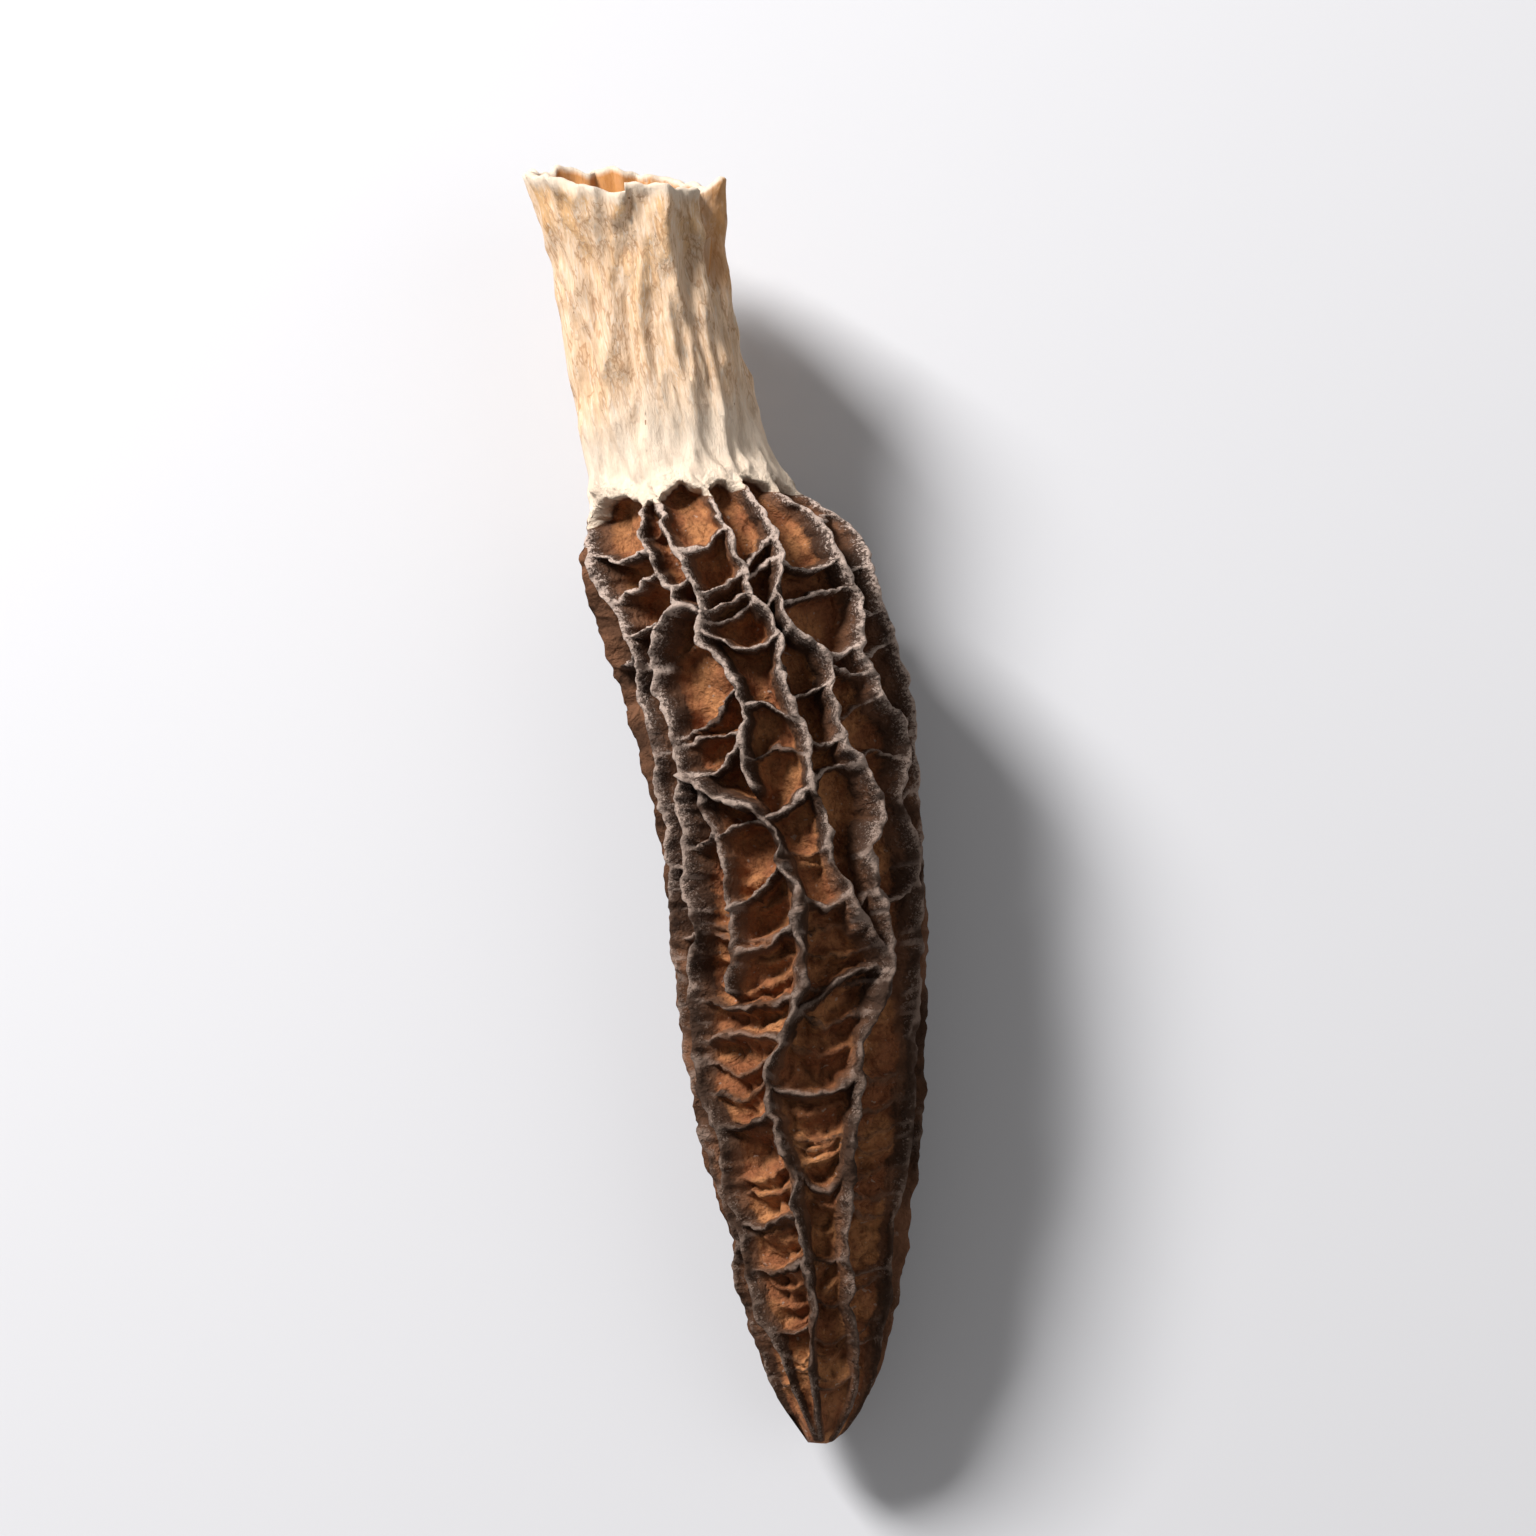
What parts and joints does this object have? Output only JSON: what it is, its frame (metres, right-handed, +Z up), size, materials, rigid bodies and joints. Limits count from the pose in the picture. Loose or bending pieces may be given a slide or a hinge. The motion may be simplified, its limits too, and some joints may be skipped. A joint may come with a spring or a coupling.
{
  "type": "dried morel mushroom",
  "caption": "Whole dried morel lying on its side: conical ribbed and pitted cap, bare hollow stem open at its cut end.",
  "frame": {"origin": "centre of the body's box, on the ground that it lies on", "axes": "+Y along the body from the tip towards the open stem end, +Z up from the ground, +X to the right when the stem end points away"},
  "size_m": [0.0178, 0.077, 0.017],
  "materials": {
    "dried_flesh": "matt dried flesh: rust brown pits, charcoal ribs with grey crests, cream stem"
  },
  "bodies": {
    "root": {"dried_morel": "dried_flesh"}
  },
  "joints": []
}
